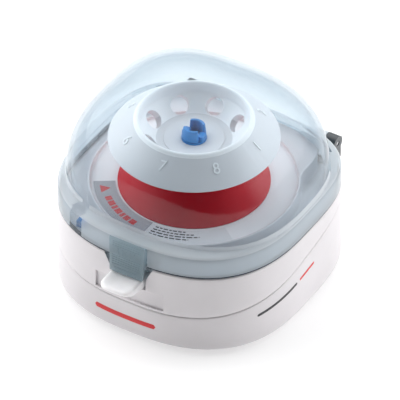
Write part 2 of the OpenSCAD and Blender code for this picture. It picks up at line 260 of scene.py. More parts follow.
def cyl(name, r, p0, p1, n=64, bevel=0.0):
    """Closed cylinder between two mm points."""
    a, b = Vector(p0), Vector(p1)
    d = (b - a).normalized()
    u = d.orthogonal().normalized()
    v = d.cross(u)
    prof = [(0, 0), (r, 0), (r, 1), (0, 1)]
    verts, faces = [], []
    L = (b - a).length
    rows = [(0, 0), (r - bevel, 0)] + ([(r, bevel), (r, L - bevel)] if bevel else [(r, 0)] * 0 + [(r, L)] * 0) + [(r - bevel, L), (0, L)]
    if not bevel:
        rows = [(0, 0), (r, 0), (r, L), (0, L)]
    idx = []
    for rr, t in rows:
        if rr == 0:
            verts.append(tuple(a + d * t))
            idx.append([len(verts) - 1])
        else:
            s = len(verts)
            for i in range(n):
                w = 2 * math.pi * i / n
                verts.append(tuple(a + d * t + (u * math.cos(w) + v * math.sin(w)) * rr))
            idx.append(list(range(s, s + n)))
    for j in range(len(rows) - 1):
        p, q = idx[j], idx[j + 1]
        for i in range(n):
            k = (i + 1) % n
            if len(p) == 1:
                faces.append((p[0], q[k], q[i]))
            elif len(q) == 1:
                faces.append((p[i], p[k], q[0]))
            else:
                faces.append((p[i], p[k], q[k], q[i]))
    return obj_from(name, verts, faces)


# ---------------------------------------------------------------- materials
def nodes_of(name):
    m = bpy.data.materials.new(name)
    m.use_nodes = True
    t = m.node_tree
    t.nodes.clear()
    return m, t


def N_(t, kind, **kw):
    n = t.nodes.new(kind)
    for k, v in kw.items():
        if k in n.inputs:
            n.inputs[k].default_value = v
        else:
            setattr(n, k, v)
    return n


def plastic(name, base, dark=None, rough=0.38, rough_var=0.08, grain=0.25, grain_h=0.02, mottle=14.0,
            metallic=0.0, coat=0.0, edge=0.3, sss=0.0, edge_gain=0.12, spec=0.5):
    """Moulded plastic, rubber or metal: broad tone drift, fine grain in bump and roughness, colour lighter at sharp
    convex edges.
    """
    m, t = nodes_of(name)
    L = t.links.new
    co = N_(t, "ShaderNodeTexCoord")
    broad = N_(t, "ShaderNodeTexNoise", Scale=1000.0 / mottle / 3, Detail=3.0, Roughness=0.55)
    fine = N_(t, "ShaderNodeTexNoise", Scale=1000.0 / grain / 3, Detail=2.0, Roughness=0.6)
    mid = N_(t, "ShaderNodeTexNoise", Scale=260.0, Detail=5.0, Roughness=0.65)
    for n in (broad, fine, mid):
        L(co.outputs["Object"], n.inputs["Vector"])
    base = list(base)
    dark = list(dark) if dark else [c * 0.93 for c in base]
    ramp = N_(t, "ShaderNodeMix", data_type="RGBA")
    ramp.inputs["A"].default_value = dark + [1]
    ramp.inputs["B"].default_value = base + [1]
    curve = N_(t, "ShaderNodeMapRange")
    curve.inputs["From Min"].default_value = 0.3
    curve.inputs["From Max"].default_value = 0.7
    L(broad.outputs["Fac"], curve.inputs["Value"])
    L(curve.outputs["Result"], ramp.inputs["Factor"])
    col = ramp.outputs["Result"]
    geo = N_(t, "ShaderNodeNewGeometry")
    point = N_(t, "ShaderNodeMapRange")
    point.inputs["From Min"].default_value = 0.52
    point.inputs["From Max"].default_value = 0.62
    point.inputs["To Max"].default_value = edge_gain
    L(geo.outputs["Pointiness"], point.inputs["Value"])
    light = N_(t, "ShaderNodeMix", data_type="RGBA")
    light.inputs["B"].default_value = [min(1, c * 1.25 + 0.05) for c in base] + [1]
    L(point.outputs["Result"], light.inputs["Factor"])
    L(col, light.inputs["A"])
    bsdf = N_(t, "ShaderNodeBsdfPrincipled")
    L(light.outputs["Result"], bsdf.inputs["Base Color"])
    r = N_(t, "ShaderNodeMapRange")
    r.inputs["To Min"].default_value = max(0.02, rough - rough_var)
    r.inputs["To Max"].default_value = rough + rough_var
    L(mid.outputs["Fac"], r.inputs["Value"])
    L(r.outputs["Result"], bsdf.inputs["Roughness"])
    bsdf.inputs["Metallic"].default_value = metallic
    bsdf.inputs["Coat Weight"].default_value = coat
    bsdf.inputs["Coat Roughness"].default_value = 0.15
    bsdf.inputs["Specular IOR Level"].default_value = spec
    if sss:
        bsdf.inputs["Subsurface Weight"].default_value = sss
        bsdf.inputs["Subsurface Radius"].default_value = (1.0, 0.9, 0.85)
        bsdf.inputs["Subsurface Scale"].default_value = 0.0025
    bump = N_(t, "ShaderNodeBump", Strength=0.35, Distance=grain_h * 0.001)
    L(fine.outputs["Fac"], bump.inputs["Height"])
    if edge > 0:
        bev = N_(t, "ShaderNodeBevel", samples=4)
        bev.inputs["Radius"].default_value = edge * 0.001
        L(bev.outputs["Normal"], bump.inputs["Normal"])
    L(bump.outputs["Normal"], bsdf.inputs["Normal"])
    out = N_(t, "ShaderNodeOutputMaterial")
    L(bsdf.outputs["BSDF"], out.inputs["Surface"])
    return m


def clear(name, tint, haze, haze_amount=0.05, edge_amount=0.5, rough=0.04, gloss=1.0, edge_tint=None):
    """Clear tinted moulding: see-through with a tint that deepens at glancing angles, a faint haze, a sharp gloss."""
    m, t = nodes_of(name)
    L = t.links.new
    co = N_(t, "ShaderNodeTexCoord")
    no = N_(t, "ShaderNodeTexNoise", Scale=38.0, Detail=4.0, Roughness=0.6)
    L(co.outputs["Object"], no.inputs["Vector"])
    lw = N_(t, "ShaderNodeLayerWeight", Blend=0.5)
    deep = N_(t, "ShaderNodeMath", operation="POWER")
    L(lw.outputs["Facing"], deep.inputs[0])
    deep.inputs[1].default_value = 2.2
    tr = N_(t, "ShaderNodeMix", data_type="RGBA")
    tr.inputs["A"].default_value = list(tint) + [1]
    tr.inputs["B"].default_value = list(edge_tint) + [1]
    L(deep.outputs["Value"], tr.inputs["Factor"])
    transp = N_(t, "ShaderNodeBsdfTransparent")
    L(tr.outputs["Result"], transp.inputs["Color"])
    diff = N_(t, "ShaderNodeBsdfDiffuse")
    diff.inputs["Color"].default_value = list(haze) + [1]
    amt = N_(t, "ShaderNodeMapRange")
    amt.inputs["To Min"].default_value = haze_amount
    amt.inputs["To Max"].default_value = edge_amount
    L(deep.outputs["Value"], amt.inputs["Value"])
    vary = N_(t, "ShaderNodeMath", operation="MULTIPLY_ADD")
    L(no.outputs["Fac"], vary.inputs[0])
    vary.inputs[1].default_value = 0.006
    L(amt.outputs["Result"], vary.inputs[2])
    back_ = N_(t, "ShaderNodeBsdfTranslucent")
    back_.inputs["Color"].default_value = list(haze) + [1]
    veil = N_(t, "ShaderNodeMixShader")
    veil.inputs[0].default_value = 0.4
    L(diff.outputs["BSDF"], veil.inputs[1])
    L(back_.outputs["BSDF"], veil.inputs[2])
    mix1 = N_(t, "ShaderNodeMixShader")
    L(vary.outputs["Value"], mix1.inputs[0])
    L(transp.outputs["BSDF"], mix1.inputs[1])
    L(veil.outputs["Shader"], mix1.inputs[2])
    gl = N_(t, "ShaderNodeBsdfGlossy")
    gl.inputs["Color"].default_value = (gloss, gloss, gloss, 1)
    rr = N_(t, "ShaderNodeMapRange")
    rr.inputs["To Min"].default_value = rough * 0.7
    rr.inputs["To Max"].default_value = rough * 1.5
    L(no.outputs["Fac"], rr.inputs["Value"])
    L(rr.outputs["Result"], gl.inputs["Roughness"])
    bump = N_(t, "ShaderNodeBump", Strength=0.15, Distance=0.0002)
    L(no.outputs["Fac"], bump.inputs["Height"])
    L(bump.outputs["Normal"], gl.inputs["Normal"])
    glance = N_(t, "ShaderNodeMath", operation="POWER")
    L(lw.outputs["Facing"], glance.inputs[0])
    glance.inputs[1].default_value = 5.0
    fr = N_(t, "ShaderNodeMapRange")
    fr.inputs["To Min"].default_value = 0.014
    fr.inputs["To Max"].default_value = 0.85
    L(glance.outputs["Value"], fr.inputs["Value"])
    mix2 = N_(t, "ShaderNodeMixShader")
    L(fr.outputs["Result"], mix2.inputs[0])
    L(mix1.outputs["Shader"], mix2.inputs[1])
    L(gl.outputs["BSDF"], mix2.inputs[2])
    out = N_(t, "ShaderNodeOutputMaterial")
    L(mix2.outputs["Shader"], out.inputs["Surface"])
    return m


WHITE = plastic("housing_white_moulded", (0.70, 0.675, 0.695), rough=0.36, grain=0.35, grain_h=0.012, sss=0.12, edge=0.35)
# the housing's white moulding again, painted lighter where the chamber deck and the finger lip catch light from above
WHITE_PAINTED_LIGHTER = plastic("white_moulded_painted_lighter", (0.90, 0.89, 0.905), rough=0.33, grain=0.3, grain_h=0.008, sss=0.12, edge=0.3)
RED = plastic("cover_red_satin", (0.56, 0.010, 0.022), (0.50, 0.008, 0.018), rough=0.48, grain=0.3, grain_h=0.014, edge=0.2, spec=0.12)
ROTOR = plastic("rotor_white_moulded", (0.72, 0.71, 0.73), (0.69, 0.685, 0.705), rough=0.40, grain=0.3, grain_h=0.010, sss=0.2, edge=0.25)
# the rotor's own white again, painted lighter for the bowl and the upward faces that catch light from above
ROTOR_BOWL_PAINTED_LIGHTER = plastic("rotor_bowl_painted_lighter", (0.95, 0.94, 0.95), (0.92, 0.915, 0.93), rough=0.42, grain=0.3, grain_h=0.010, sss=0.2, edge=0.2)
# the rotor's own white, painted lighter on the raised numbers: painted highlight
ROTOR_NUMBERS_PAINTED_HIGHLIGHT = plastic("rotor_numbers_painted_highlight", (0.93, 0.93, 0.94), (0.90, 0.90, 0.91), rough=0.38, grain=0.3, grain_h=0.008, edge=0.15)
BLUE = plastic("hub_blue_moulded", (0.022, 0.235, 0.60), (0.018, 0.20, 0.53), rough=0.30, grain=0.25, grain_h=0.008, edge=0.2, sss=0.05)
DARK = plastic("hinge_dark_gloss", (0.020, 0.030, 0.038), rough=0.16, rough_var=0.05, grain=0.3, grain_h=0.008, edge=0.25, coat=0.3)
BLACK = plastic("moulded_black", (0.022, 0.022, 0.024), rough=0.42, grain=0.25, grain_h=0.02, edge=0.25)
RUBBER = plastic("foot_rubber", (0.03, 0.03, 0.031), rough=0.75, grain=0.2, grain_h=0.03, edge=0.3, spec=0.3)
STEEL = plastic("plated_steel", (0.62, 0.62, 0.64), rough=0.28, grain=0.15, grain_h=0.006, metallic=1.0, edge=0.15)
CAN = plastic("zinc_can", (0.55, 0.56, 0.58), (0.48, 0.49, 0.51), rough=0.36, grain=0.6, grain_h=0.012, mottle=6, metallic=1.0, edge=0.3)
MAGNET = plastic("ferrite", (0.07, 0.07, 0.075), rough=0.6, grain=0.25, grain_h=0.03, edge=0.3)
COPPER = plastic("winding_copper", (0.62, 0.27, 0.12), (0.5, 0.2, 0.09), rough=0.35, grain=0.4, grain_h=0.05, metallic=0.9, edge=0.2)
BOARD = plastic("solder_mask_green", (0.012, 0.16, 0.06), rough=0.3, grain=0.5, grain_h=0.01, edge=0.1, coat=0.4)
LABEL_GREY = plastic("label_grey_print", (0.40, 0.40, 0.43), rough=0.5, grain=0.15, grain_h=0.006, edge=0.0)
LABEL_WHITE = plastic("label_white_print", (0.74, 0.74, 0.76), rough=0.5, grain=0.15, grain_h=0.006, edge=0.0)
INK_RED = plastic("ink_red", (0.62, 0.02, 0.025), rough=0.5, grain=0.1, grain_h=0.004, edge=0.0)
INK_DARK = plastic("ink_dark", (0.035, 0.035, 0.04), rough=0.5, grain=0.1, grain_h=0.004, edge=0.0)
CLEAR = clear("lid_clear_tinted", (0.912, 0.940, 0.957), (0.74, 0.81, 0.86), haze_amount=0.0, edge_amount=0.32, edge_tint=(0.68, 0.76, 0.81))
CLEAR_TAB = clear("latch_clear_tinted", (0.82, 0.88, 0.90), (0.55, 0.65, 0.70), haze_amount=0.36, edge_amount=0.66, rough=0.12, edge_tint=(0.5, 0.6, 0.64))
# dark tint on the lid's lowest band: painted shade for the shadowed gap between the lid and the ledge
CLEAR_EDGE_PAINTED_SHADE = clear("lid_edge_painted_shade", (0.20, 0.24, 0.29), (0.035, 0.05, 0.075), haze_amount=0.7, edge_amount=0.85, edge_tint=(0.12, 0.15, 0.19))


CLEAR_RIM = clear("lid_rim_tinted", (0.74, 0.80, 0.835), (0.74, 0.805, 0.85), haze_amount=0.50, edge_amount=0.74, edge_tint=(0.62, 0.69, 0.74))
# darker tint for the rear corners of the dome foot: painted shade
CLEAR_CREASE_PAINTED_SHADE = clear("lid_crease_painted_shade", (0.50, 0.57, 0.62), (0.30, 0.36, 0.41), haze_amount=0.45, edge_amount=0.6, edge_tint=(0.42, 0.49, 0.54))
# lighter haze for the upward-facing shoulder and the dome foot: painted light for the bright top they reflect, laid
# over the shaded interior seen through them
CLEAR_LAND_PAINTED_LIGHT = clear("lid_land_painted_light", (0.80, 0.85, 0.88), (0.86, 0.91, 0.94), haze_amount=0.62, edge_amount=0.78, edge_tint=(0.70, 0.77, 0.81))


def use(o, mat):
    o.data.materials.clear()
    o.data.materials.append(mat)
    return o


def node_material(node, mat):
    o = frame["nodes"][node]
    if not o.material_slots:
        o.data.materials.append(mat)
    for s in o.material_slots:
        s.material = mat


# ---------------------------------------------------------------- lower housing
z_s = lambda ins: seam(body_r(ins))
rows = [ring(body_r(9), 0.0), ring(body_r(3.4), 0.0), ring(body_r(2.0), 0.28), ring(body_r(1.0), 0.95),
        ring(body_r(0.45), 1.9), ring(body_r(0.22), 3.2), ring(body_r(0.12), 6.0)]
low = rows[-1][:, 2]
for t in (0.3, 0.6, 0.85):
    rows.append(ring(body_r(0.12 * (1 - t)), 6.0 + t * (z_s(0) - 1.3 - 6.0)))
rows += [ring(body_r(0), z_s(0) - 1.0), ring(body_r(0.10), z_s(0.1) - 0.62), ring(body_r(0.35), z_s(0.35) - 0.30),
         ring(body_r(0.7), z_s(0.7) - 0.2), ring(body_r(2.3), z_s(2.3) - 0.2), ring(body_r(2.6), z_s(2.6) - 0.6)]
for t in (0.4, 0.8):
    rows.append(ring(body_r(2.6), z_s(2.6) * (1 - t) + t * 2.6))
rows += [ring(body_r(3.4), 2.6), ring(body_r(9), 2.6)]
lower = loft("lower_housing_shell", rows)
SCREWS = [(52, -42), (-52, -42), (50, 50), (-50, 50)]
cut = [block("c", (-37.9, 76.3, 5), (37.9, 90, 35))]
boolean(lower, cut[0])
cutters = [cyl("c", 5.5, (22, 60, 18), (22, 90, 18)), block("c", (-28.5, 60, 10), (-15.5, 90, 29.2), 0.6)]
cutters += [cyl("c", 3.4, (x, y, -1), (x, y, 4)) for x, y in SCREWS]
cutters += [cyl("c", 7.0, (x * 0.86, y * 0.86, -1), (x * 0.86, y * 0.86, 1.2)) for x in (-46, 46) for y in (-44, 52)]
cutters += [block("c", (i * 5 - 1, -16, -1), (i * 5 + 1, 16, 6), 0.5) for i in range(-3, 4)]
boolean(lower, join("cutters", cutters))
use(lower, WHITE)
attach(lower, "base")
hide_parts("lower_housing")

# ---------------------------------------------------------------- upper housing
CH = 58.9
plat = polar(50, 40, 30, 3, 4, 37.0)
k = 2.6
h = np.clip(0.5 + 0.5 * (plat - (CH + 1.5)) / k, 0, 1)
RQ = (CH + 1.5) * (1 - h) + plat * h + k * h * (1 - h)
RIM = 64.8
zz = z_s(0)
rows = [ring(body_r(2.6), z_s(2.6) + 0.5), ring(body_r(2.2), z_s(2.2) + 0.2), ring(body_r(0.7), z_s(0.7) + 0.2),
        ring(body_r(0.35), z_s(0.35) + 0.30), ring(body_r(0.10), z_s(0.1) + 0.62), ring(body_r(0), zz + 1.0)]
for t in (0.25, 0.5, 0.75):
    rows.append(ring(body_r(0), zz + 1.0 + t * (GZ - 1.8 - zz - 1.0)))
rows += [ring(body_r(0), GZ - 1.8), ring(body_r(0.10), GZ - 0.9), ring(body_r(0.42), GZ - 0.38), ring(body_r(0.95), GZ - 0.08),
         ring(body_r(1.6), GZ)]
lip = np.minimum(RQ + 1.5, body_r(2.6))
rows += [ring(lip, GZ), ring(RQ + 0.7, GZ + 0.12), ring(RQ + 0.2, GZ + 0.55), ring(RQ, GZ + 1.3)]
rows += [ring(RQ - 0.0, GZ + 6), ring(RQ, RIM - 0.75), ring(RQ - 0.1, RIM - 0.32), ring(RQ - 0.32, RIM - 0.08), ring(RQ - 0.62, RIM)]
rows += [ring(CH + 0.62, RIM), ring(CH + 0.25, RIM - 0.08), ring(CH + 0.05, RIM - 0.3), ring(CH, RIM - 0.7),
         ring(CH, DECK + 0.9), ring(CH - 0.12, DECK + 0.45), ring(CH - 0.45, DECK + 0.12), ring(CH - 0.95, DECK),
         ring(52, DECK), ring(46, DECK), ring(41.2, DECK), ring(40.7, DECK - 0.25), ring(40.6, DECK - 0.8), ring(40.6, DECK - 2.5),
         ring(50, DECK - 2.5), ring(CH, DECK - 2.5), ring(CH, GZ - 2.5), ring(RQ, GZ - 2.5), ring(body_r(2.6), GZ - 2.5)]
upper = loft("upper_housing_shell", rows, closed=True)
boolean(upper, block("u", (-19, -70.0, 26), (19, -57.6, GZ - 0.5)), "UNION")
pocket = prism("c", [(-11.5, 36.6), (11.5, 36.6), (11.6, 43.5), (12.4, 46.6), (15.2, GZ - 1.6), (16.1, GZ - 0.4), (17.6, GZ + 0.6), (-17.6, GZ + 0.6),
                     (-16.1, GZ - 0.4), (-15.2, GZ - 1.6), (-12.4, 46.6), (-11.6, 43.5)], "y", -80, -59.4)
slot_ = block("c", (-17, -66.4, 47.6), (17, -64.6, 50))
boolean(upper, pocket)
boolean(upper, slot_)
# shallow panel below the latch, with a rounded upper edge
PX = 22.4
px = np.linspace(-PX, PX, 41)
def front_y(x, ins):
    return -(FRONT - ins) * (1 - (np.abs(x) / (HW - ins)) ** 2.55) ** (1 / 2.55)
zs = [25.5, 28.0, 31.0, 34.0, 35.4, 36.2, 36.75]
ds = [1.3, 1.3, 1.3, 1.3, 1.15, 0.75, 0.15]
verts, faces = [], []
n = len(px)
for z, d in zip(zs, ds):
    verts += [(x, front_y(x, 0) + d, z) for x in px] + [(x, -80.0, z) for x in px[::-1]]
m2 = 2 * n
for j in range(len(zs) - 1):
    for i in range(m2):
        a, b = j * m2 + i, j * m2 + (i + 1) % m2
        faces.append((a, b, b + m2, a + m2))
faces.append(tuple(range(m2)))
faces.append(tuple((len(zs) - 1) * m2 + i for i in range(m2)))
boolean(upper, obj_from("c", verts, faces))
boolean(upper, join("c", [block("c", (s * 46.5 - 3.6, 59.9, GZ + 0.02), (s * 46.5 + 3.6, 80, GZ + 20)) for s in (-1, 1)]))
boolean(upper, block("c", (-41.3, -60.2, 45), (-36.3, -56.4, 60)))
use(upper, WHITE)
upper.data.materials.append(WHITE_PAINTED_LIGHTER)
# chamber faces take the lighter-painted copy of the housing white: painted light on the deck
for p in upper.data.polygons:
    c_ = p.center
    if math.hypot(c_.x - AX, c_.y - AY) < 0.0592 and c_.z > FH + 0.052:
        p.material_index = 1
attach(upper, "base")
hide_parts("upper_housing")

# finger lip below the latch tab: plan sections stacked from the underside to the top
def lip_plan(half, tip, root, r, n=10):
    pts = [(-half, root)]
    pts += [(-half + r + r * math.cos(a), tip + r + r * math.sin(a)) for a in np.linspace(math.pi, 1.5 * math.pi, n)]
    pts += [(half - r + r * math.cos(a), tip + r + r * math.sin(a)) for a in np.linspace(1.5 * math.pi, 2 * math.pi, n)]
    pts += [(half, root)]
    # every ring has the same number of points
    return pts


def lip_under(y):
    """Underside height: a slope that rises from the wall to the tip."""
    return float(np.interp(y, [LIP_Y, -79.0, -70.6, -50.0], [41.85, 39.0, 36.0, 35.9]))


secs = []
def lip_ring(ins, zf):
    return [(x, y, zf(y)) for x, y in lip_plan(10.3 - ins, LIP_Y + ins, -58.6, 6.0 - 0.6 * ins)]


top_z = 44.2
crown = lambda y: 0.0
secs.append(lip_ring(1.2, lambda y: lip_under(y) + 0.02))
secs.append(lip_ring(0.45, lambda y: lip_under(y) + 0.18))
secs.append(lip_ring(0.08, lambda y: lip_under(y) + 0.55))
secs.append(lip_ring(0.0, lambda y: (lip_under(y) + top_z) / 2 + 0.15))
secs.append(lip_ring(0.1, lambda y: top_z - 0.75))
secs.append(lip_ring(0.5, lambda y: top_z - 0.28))
secs.append(lip_ring(1.2, lambda y: top_z - 0.04))
secs.append(lip_ring(2.0, lambda y: top_z))
secs.append(lip_ring(3.2, lambda y: top_z - 0.12))
secs.append(lip_ring(6.0, lambda y: top_z - 0.5))
lip = loft("finger_lip", [np.array(r_) for r_ in secs], angle=50)
# the lip takes the lighter-painted white: painted light on its upward-facing top
use(lip, WHITE_PAINTED_LIGHTER)
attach(lip, "base")

# ---------------------------------------------------------------- motor cover
prof = rounded([(40.4, 60.4), (40.4, 62.95), (43.5, 62.95), (43.45, 63.6), (18.4, 87.7), (16.6, 88), (5, 88), (5, 85.6), (16.7, 85.6), (38.2, 63.6), (38.2, 60.4)],
               [0.2, 0, 0.1, 0.7, 1.4, 0.5, 0.3, 0.3, 1, 1, 0.2], 5)
cover = revolve("motor_cover_cone", prof, 192)
use(cover, RED)
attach(cover, "base")
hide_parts("motor_cover")

# ---------------------------------------------------------------- rotor
prof = [(7.25, 94.2), (17.3, 94.2), (17.6, 93.6), (21.6, 93.6), (30.7, 102.7), (31.0, 106.8), (31.5, 108.4), (32.3, 109.0), (33.3, 108.5), (34.4, 107.1),
        (48.9, 94.75), (49.0, 94.12), (46, 94.1), (36.2, 102.8), (34.3, 102.6), (22.7, 91), (7.25, 91)]
prof = rounded(prof, [0.4, 0.5, 0.3, 3.0, 2.5, 1, 0.6, 0.6, 0.8, 2.0, 0.35, 0.25, 0.3, 1, 1, 1, 0.3], 5)
rotor = revolve("rotor_shell", prof, 224)
T0 = math.radians(4.9)
c45 = math.sqrt(0.5)


def tube_axis(i, s):
    a = T0 + i * math.pi / 4
    r, z = 25.8 + s * c45, 97.5 - s * c45
    return (r * math.cos(a), r * math.sin(a), z)


socks = [cyl("s", 7.05, tube_axis(i, 0.9), tube_axis(i, 4.0), 56, 0.25) for i in range(8)]
boolean(rotor, join("s", socks), "UNION")
holes = []
for i in range(8):
    holes.append(cyl("h", 5.5, tube_axis(i, -8), tube_axis(i, 30), 64))
boolean(rotor, join("h", holes))
# embossed place numbers on the outer cone, painted lighter than the rotor: a painted highlight where their edges catch
# light
cone_n = Vector((0.664, 0, 0.748))


def glyph(text, size):
    c = bpy.data.curves.new("g", "FONT")
    c.body = text
    c.size = size
    c.align_x = "CENTER"
    c.align_y = "CENTER"
    c.extrude = 0.28
    c.bevel_depth = 0.02
    c.bevel_resolution = 1
    o = bpy.data.objects.new("g", c)
    bpy.context.scene.collection.objects.link(o)
    dg = bpy.context.evaluated_depsgraph_get()
    dg.update()
    me = bpy.data.meshes.new_from_object(o.evaluated_get(dg))
    bpy.data.objects.remove(o)
    v = np.array([x.co for x in me.vertices], float).reshape(-1, 3)
    f = [tuple(p.vertices) for p in me.polygons]
    bpy.data.meshes.remove(me)
    return v, f


digits = []
for i in range(8):
    v, f = glyph(str(i + 1), 9.4)
    a0 = T0 + i * math.pi / 4
    r0 = 40.0
    pts = []
    for x, y, z in v:
        r = r0 - y * 0.748
        zc = 107.1 - (r - 34.4) * 0.8517 + 0.12
        a = a0 + x * 0.92 / r0
        up = z
        rr, zz2 = r + up * 0.664, zc + up * 0.748
        pts.append((rr * math.cos(a), rr * math.sin(a), zz2))
    digits.append(obj_from("d", pts, f, 30))
marks = join("rotor_numbers", digits)
use(marks, ROTOR_NUMBERS_PAINTED_HIGHLIGHT)
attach(marks, "spindle")
use(rotor, ROTOR)
rotor.data.materials.append(ROTOR_BOWL_PAINTED_LIGHTER)
# inward bowl faces and upward faces near the top take the lighter-painted copy: painted light
for p in rotor.data.polygons:
    c_ = p.center
    rad = math.hypot(c_.x - AX, c_.y - AY) * 1000
    if rad < 36.5 and (c_.z - FH) * 1000 > 70 and ((p.normal.x * (c_.x - AX) + p.normal.y * (c_.y - AY) <= 0 and p.normal.z < 0.85) or (p.normal.z > 0.3 and (c_.z - FH) * 1000 > 104.5)):
        p.material_index = 1
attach(rotor, "spindle")
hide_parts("rotor")

# ---------------------------------------------------------------- blue hub and prongs
hub = revolve("drive_hub_body", rounded([(3.0, 88.3), (4.6, 88.3), (4.6, 89.1), (10.5, 89.1), (10.5, 91), (7.15, 91), (7.15, 95.2), (3.0, 95.2)], [0.2, 0.2, 0.2, 0.3, 0.2, 0, 0.25, 0.2], 3), 96)
use(hub, BLUE)
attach(hub, "spindle")
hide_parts("drive_hub")
ch = []
for s_ in (1, -1):
    w = [math.asin(2.55 / 7.1) * q / 6 for q in range(-6, 7)]
    ch.append([(s_ * 7.1 * math.cos(a), s_ * 7.1 * math.sin(a)) for a in w] + [(s_ * 3.2, s_ * 2.55), (s_ * 3.2, -s_ * 2.55)])
cheek = join("hub_cheeks", [prism("c", q, "z", 94.9, 98.1, 0.3) for q in ch])
use(cheek, BLUE)
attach(cheek, "spindle")


def prong(name, sign):
    """A snap prong: a curved wall that flares at its foot."""
    na, nz = 21, 9
    verts, faces = [], []
    z0, z1 = 95.5, 102.85
    for side_ in (1, 0):
        for j in range(nz + 1):
            t = j / nz
            z = z0 + (z1 - z0) * t
            w = 5.15 - 0.55 * t
            for i in range(na):
                x = -w + 2 * w * i / (na - 1)
                ro = 7.15 if t > 0.06 else 7.15
                r = (ro - 0.75 * t ** 1.3) if side_ else 4.75 + 0.1 * t
                y = -math.sqrt(max(r * r - x * x, 2.95 ** 2)) if side_ else -max(math.sqrt(max(r * r - x * x, 0)), 3.0)
                if side_:
                    y = min(y, -3.2)
                verts.append((x * sign, y * sign, z))
    M = na * (nz + 1)
    for j in range(nz):
        for i in range(na - 1):
            a = j * na + i
            faces.append((a, a + 1, a + 1 + na, a + na))
            faces.append((M + a, M + a + na, M + a + 1 + na, M + a + 1))
    for i in range(na - 1):
        faces.append((i, M + i, M + i + 1, i + 1))
        a = nz * na + i
        faces.append((a, a + 1, M + a + 1, M + a))
    for j in range(nz):
        a = j * na
        faces.append((a, a + na, M + a + na, M + a))
        a = j * na + na - 1
        faces.append((a, M + a, M + a + na, a + na))
    o = obj_from(name, verts, faces, 40)
    bevel_all(o, 0.35, 3, 40, 40)
    return o


for nm, node, body, sg in (("prong_front_wall", "clip_prong_front", "prong_front", 1), ("prong_rear_wall", "clip_prong_rear", "prong_rear", -1)):
    p = prong(nm, sg)
    use(p, BLUE)
    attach(p, body)
    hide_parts(node)

# ---------------------------------------------------------------- deck label
def sector(name, r1, r2, a1, a2, z, h, n=48, corner=0.0):
    """Thin annular sector, angles in degrees."""
    verts, faces = [], []
    for i in range(n + 1):
        a = math.radians(a1 + (a2 - a1) * i / n)
        for r, zz3 in ((r1, z), (r2, z), (r2, z + h), (r1, z + h)):
            verts.append((r * math.cos(a), r * math.sin(a), zz3))
    for i in range(n):
        for j in range(4):
            faces.append((i * 4 + j, i * 4 + (j + 1) % 4, (i + 1) * 4 + (j + 1) % 4, (i + 1) * 4 + j))
    faces += [(0, 1, 2, 3), tuple(n * 4 + j for j in (3, 2, 1, 0))]
    return obj_from(name, verts, faces)


lab1 = use(sector("deck_label_grey", 44.6, 57.2, -147, -90, DECK, 0.25), LABEL_GREY)
lab2 = use(sector("deck_label_white", 45.2, 56.6, -89.6, -36, DECK, 0.15), LABEL_WHITE)
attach(lab1, "base")
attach(lab2, "base")
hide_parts("deck_label")
zt = DECK + 0.25
# plain printed marks: a triangle, then short bars, with no lettering
ta, tr = math.radians(-139.5), 51.2
er, et = Vector((math.cos(ta), math.sin(ta), 0)), Vector((-math.sin(ta), math.cos(ta), 0))
tc = er * tr
tri = []
for s_, q in ((3.4, 0), (-2.5, 3.3), (-2.5, -3.3)):
    p = tc - er * s_ * -1 * -1 + et * q
    tri.append((p.x, p.y))
tri_o = prism("t", tri, "z", zt, zt + 0.05)
bars = [tri_o]
for a1, a2 in ((-131.5, -127.5), (-126.5, -122), (-121, -118.6), (-117.6, -113), (-112, -109.6), (-108.6, -104.5), (-103.5, -99)):
    bars.append(sector("b", 49.2, 53.0, a1, a2, zt, 0.05, 8))
red_marks = use(join("label_red_marks", bars), INK_RED)
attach(red_marks, "base")
zt = DECK + 0.15
bars = []
import random
rnd = random.Random(7)
for r1, a1, a2 in ((46.4, -86, -64), (48.6, -86.5, -58), (50.8, -87, -55), (53.0, -87, -62)):
    a = a1
    while a < a2:
        w = rnd.uniform(1.6, 4.2)
        b = min(a + w, a2)
        bars.append(sector("b", r1, r1 + 0.95, a, b, zt, 0.05, 4))
        a = b + 0.8
dark_marks = use(join("label_dark_marks", bars), INK_DARK)
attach(dark_marks, "base")

# ---------------------------------------------------------------- lid
D0 = 69.0
NL = 224
YD = 4.6
PL = np.linspace(0, 2 * math.pi, NL, endpoint=False) + math.pi / NL


def lid_r(a, f, b, nf, nb, yc):
    """Radius about (0, YD) of an outline centred at (0, yc)."""
    return polar(a, f, b, nf, nb, yc - YD, PL)


def lid_ring(r, z):
    """Ring about the dome's centre, so small rings near its top stay regular."""
    return np.stack([r * np.cos(PL), YD + r * np.sin(PL), np.broadcast_to(z, r.shape)], -1)


def fl(ins):
    return lid_r(HW - ins, FRONT - ins, 72.5 - ins, 2.55, 3.6, 0.0)


def dm(g, ins=0.0):
    return lid_r((71.2 - ins) * g, (66 - ins) * g, (64 - ins) * g, 2.66, 2.7, YD)


LT = 2.4
foot = dm(1, -0.45)
outer = [lid_ring(fl(0.55), GZ + 0.32), lid_ring(fl(0.12), GZ + 0.5), lid_ring(fl(0.0), GZ + 1.3), lid_ring(fl(0.05), 58), lid_ring(fl(0.2), 63.6)]
top = fl(0.2)
